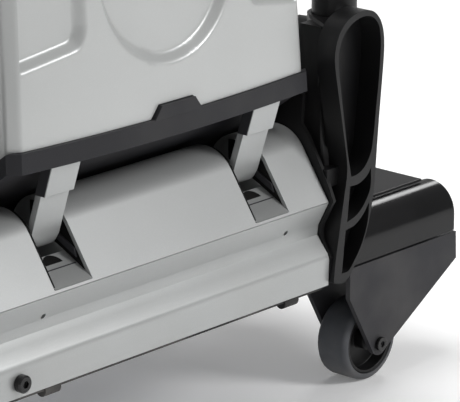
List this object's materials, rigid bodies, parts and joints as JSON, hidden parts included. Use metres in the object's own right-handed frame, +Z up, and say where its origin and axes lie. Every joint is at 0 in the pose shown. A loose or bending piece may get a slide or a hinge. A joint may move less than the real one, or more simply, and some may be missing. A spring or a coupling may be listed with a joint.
{
  "type": "carpet cleaner machine",
  "caption": "Upright twin-brush carpet cleaning machine with fold-away transport wheels, lift-off solution tank and height-adjustable handlebar.",
  "frame": {"origin": "on the floor under the middle of the machine's bounding box, with the wheels down", "axes": "+X along the brush deck towards the operator's right, -Y towards the operator, +Z up"},
  "size_m": [0.852, 0.5056, 1.0155],
  "materials": {
    "silver_cover": "satin silver with a fine grain",
    "silver_rail": "satin silver coat",
    "charcoal_trim": "matt, finely textured",
    "tank_plastic": "satin, milky",
    "black_moulding": "satin moulded",
    "gloss_black": "gloss",
    "black_steel": "blackened, semi-gloss",
    "fork_paint": "matt powder coat",
    "frame_paint": "satin powder coat",
    "steel": "ground",
    "grey_rubber": "matt",
    "black_rubber": "matt",
    "bristles": "nylon filaments"
  },
  "bodies": {
    "machine": {"deck_shell": "silver_cover", "front_rail": "silver_rail", "rear_rail": "silver_rail", "rail_screw": "black_steel", "front_skirt": "black_rubber", "rear_skirt": "black_rubber", "deck_end_right": "steel", "deck_end_left": "steel", "drive_belt_front": "black_rubber", "drive_belt_rear": "black_rubber", "drive_cover": "silver_cover", "drive_motor": "black_moulding", "side_shelf_right": "gloss_black", "side_shelf_left": "gloss_black", "chassis_frame": "frame_paint", "side_bracket_right": "black_moulding", "side_bracket_left": "black_moulding", "body_base": "charcoal_trim", "body_cover": "silver_cover", "upper_strap_left": "silver_rail", "upper_strap_right": "silver_rail", "lower_strap_left": "silver_rail", "lower_strap_right": "silver_rail", "top_housing": "charcoal_trim", "mains_inlet": "black_moulding", "wheel_hood_front_right": "gloss_black", "wheel_hood_front_left": "gloss_black", "wheel_hood_rear_right": "gloss_black", "wheel_hood_rear_left": "gloss_black"},
    "fork_front_right": {"wheel_fork_front_right": "fork_paint", "axle_bolt_front_right": "black_steel"},
    "fork_front_left": {"wheel_fork_front_left": "fork_paint", "axle_bolt_front_left": "black_steel"},
    "fork_rear_right": {"wheel_fork_rear_right": "fork_paint", "axle_bolt_rear_right": "black_steel"},
    "fork_rear_left": {"wheel_fork_rear_left": "fork_paint", "axle_bolt_rear_left": "black_steel"},
    "wheel_front_right": {"wheel_tyre_front_right": "grey_rubber", "wheel_hub_front_right": "black_moulding"},
    "wheel_front_left": {"wheel_tyre_front_left": "grey_rubber", "wheel_hub_front_left": "black_moulding"},
    "wheel_rear_right": {"wheel_tyre_rear_right": "grey_rubber", "wheel_hub_rear_right": "black_moulding"},
    "wheel_rear_left": {"wheel_tyre_rear_left": "grey_rubber", "wheel_hub_rear_left": "black_moulding"},
    "front_brush": {"front_brush": "bristles"},
    "rear_brush": {"rear_brush": "bristles"},
    "drive_gear_front": {"drive_gear_front": "steel"},
    "drive_gear_rear": {"drive_gear_rear": "steel"},
    "handlebar": {"handlebar": "frame_paint", "grip_right": "black_rubber", "grip_left": "black_rubber", "trigger_mount": "black_moulding"},
    "spray_trigger": {"spray_trigger": "black_moulding"},
    "clamp_knob_right": {"clamp_knob_right": "black_moulding"},
    "clamp_knob_left": {"clamp_knob_left": "black_moulding"},
    "solution_tank": {"solution_tank": "tank_plastic"},
    "tank_lid": {"tank_lid": "charcoal_trim"},
    "power_switch": {"power_switch": "black_moulding"}
  },
  "joints": [
    {"name": "fork_fold_front_right", "type": "hinge", "parent": "machine", "child": "fork_front_right", "pos_m": [0.3155, -0.07565, 0.1368], "axis": [1, 0, 0], "range_deg": [0, 90]},
    {"name": "fork_fold_front_left", "type": "hinge", "parent": "machine", "child": "fork_front_left", "pos_m": [-0.3155, -0.07565, 0.1368], "axis": [1, 0, 0], "range_deg": [0, 90]},
    {"name": "fork_fold_rear_right", "type": "hinge", "parent": "machine", "child": "fork_rear_right", "pos_m": [0.3155, 0.20715, 0.1368], "axis": [-1, 0, 0], "range_deg": [0, 90]},
    {"name": "fork_fold_rear_left", "type": "hinge", "parent": "machine", "child": "fork_rear_left", "pos_m": [-0.3155, 0.20715, 0.1368], "axis": [-1, 0, 0], "range_deg": [0, 90]},
    {"name": "wheel_roll_front_right", "type": "hinge", "parent": "fork_front_right", "child": "wheel_front_right", "pos_m": [0.3155, -0.07565, 0.0375], "axis": [0, 1, 0], "continuous": true},
    {"name": "wheel_roll_front_left", "type": "hinge", "parent": "fork_front_left", "child": "wheel_front_left", "pos_m": [-0.3155, -0.07565, 0.0375], "axis": [0, 1, 0], "continuous": true},
    {"name": "wheel_roll_rear_right", "type": "hinge", "parent": "fork_rear_right", "child": "wheel_rear_right", "pos_m": [0.3155, 0.20715, 0.0375], "axis": [0, 1, 0], "continuous": true},
    {"name": "wheel_roll_rear_left", "type": "hinge", "parent": "fork_rear_left", "child": "wheel_rear_left", "pos_m": [-0.3155, 0.20715, 0.0375], "axis": [0, 1, 0], "continuous": true},
    {"name": "front_brush_turn", "type": "hinge", "parent": "machine", "child": "front_brush", "pos_m": [0, -0.05925, 0.145], "axis": [1, 0, 0], "continuous": true},
    {"name": "rear_brush_turn", "type": "hinge", "parent": "machine", "child": "rear_brush", "pos_m": [0, 0.19075, 0.145], "axis": [1, 0, 0], "continuous": true},
    {"name": "drive_gear_front_turn", "type": "hinge", "parent": "machine", "child": "drive_gear_front", "pos_m": [-0.2105, 0.04575, 0.218], "axis": [1, 0, 0], "continuous": true},
    {"name": "drive_gear_rear_turn", "type": "hinge", "parent": "machine", "child": "drive_gear_rear", "pos_m": [-0.2105, 0.08575, 0.218], "axis": [1, 0, 0], "continuous": true},
    {"name": "handlebar_height", "type": "slide", "parent": "machine", "child": "handlebar", "axis": [0, 0, 1], "range_m": [0, 0.09]},
    {"name": "trigger_squeeze", "type": "hinge", "parent": "handlebar", "child": "spray_trigger", "pos_m": [0, -0.22125, 0.963], "axis": [-1, 0, 0], "range_deg": [0, 14], "stiffness_Nm_per_rad": 0.15, "springref_deg": -11.46},
    {"name": "knob_turn_right", "type": "hinge", "parent": "machine", "child": "clamp_knob_right", "pos_m": [0.2756, -0.05525, 0.325], "axis": [0, 1, 0], "range_deg": [0, 270]},
    {"name": "knob_turn_left", "type": "hinge", "parent": "machine", "child": "clamp_knob_left", "pos_m": [-0.2756, -0.05525, 0.325], "axis": [0, 1, 0], "range_deg": [0, 270]},
    {"name": "tank_lift", "type": "slide", "parent": "machine", "child": "solution_tank", "axis": [0, 0, 1], "range_m": [0, 0.2]},
    {"name": "lid_hinge", "type": "hinge", "parent": "solution_tank", "child": "tank_lid", "pos_m": [0.03, 0.0092, 0.7143], "axis": [-1, 0, 0], "range_deg": [0, 100]},
    {"name": "switch_rock", "type": "hinge", "parent": "machine", "child": "power_switch", "pos_m": [0.12, -0.09994, 0.54], "axis": [1, 0, 0], "range_deg": [0, 12]}
  ],
  "couplings": [
    {"joint": "rear_brush_turn", "follows": "front_brush_turn", "ratio": -1},
    {"joint": "drive_gear_front_turn", "follows": "front_brush_turn", "ratio": 1},
    {"joint": "drive_gear_rear_turn", "follows": "front_brush_turn", "ratio": -1}
  ]
}
